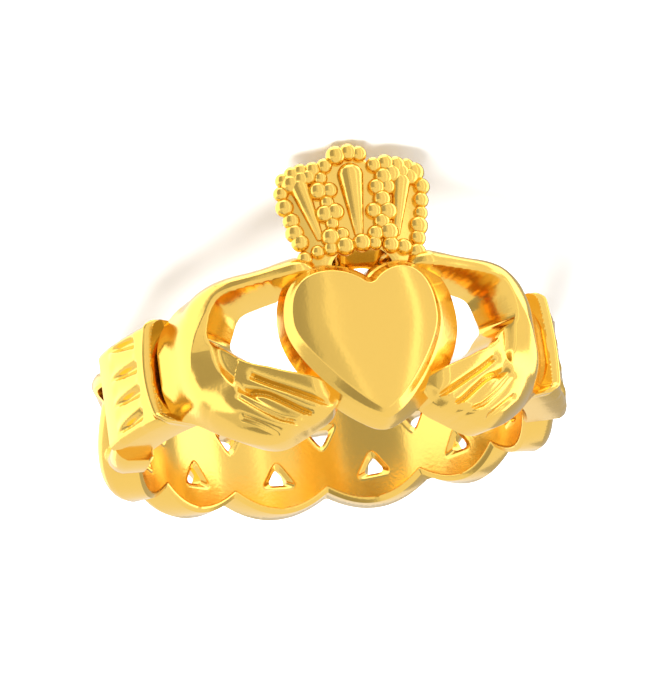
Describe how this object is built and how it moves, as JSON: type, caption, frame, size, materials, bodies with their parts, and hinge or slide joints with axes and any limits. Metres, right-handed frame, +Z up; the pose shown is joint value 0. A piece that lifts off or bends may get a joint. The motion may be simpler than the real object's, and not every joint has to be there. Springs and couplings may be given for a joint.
{
  "type": "claddagh ring",
  "caption": "Cast gold finger ring: two cuffed hands hold a crowned heart in front, and a pierced three-strand plait closes the band behind.",
  "frame": {"origin": "middle of the whole ring's bounding box, on the floor that it lies on", "axes": "+Z up from the floor; the heart faces -Y and a little up, with the crown below it on the floor; +X to the side of the hand seen on the left when the crown is up, +Y towards the plait at the back. The bore's axis leans 17.3 degrees from +Z towards +Y"},
  "size_m": [0.0232, 0.0252, 0.0137],
  "materials": {
    "gold": "polished"
  },
  "bodies": {
    "root": {"ring": "gold"}
  },
  "joints": []
}
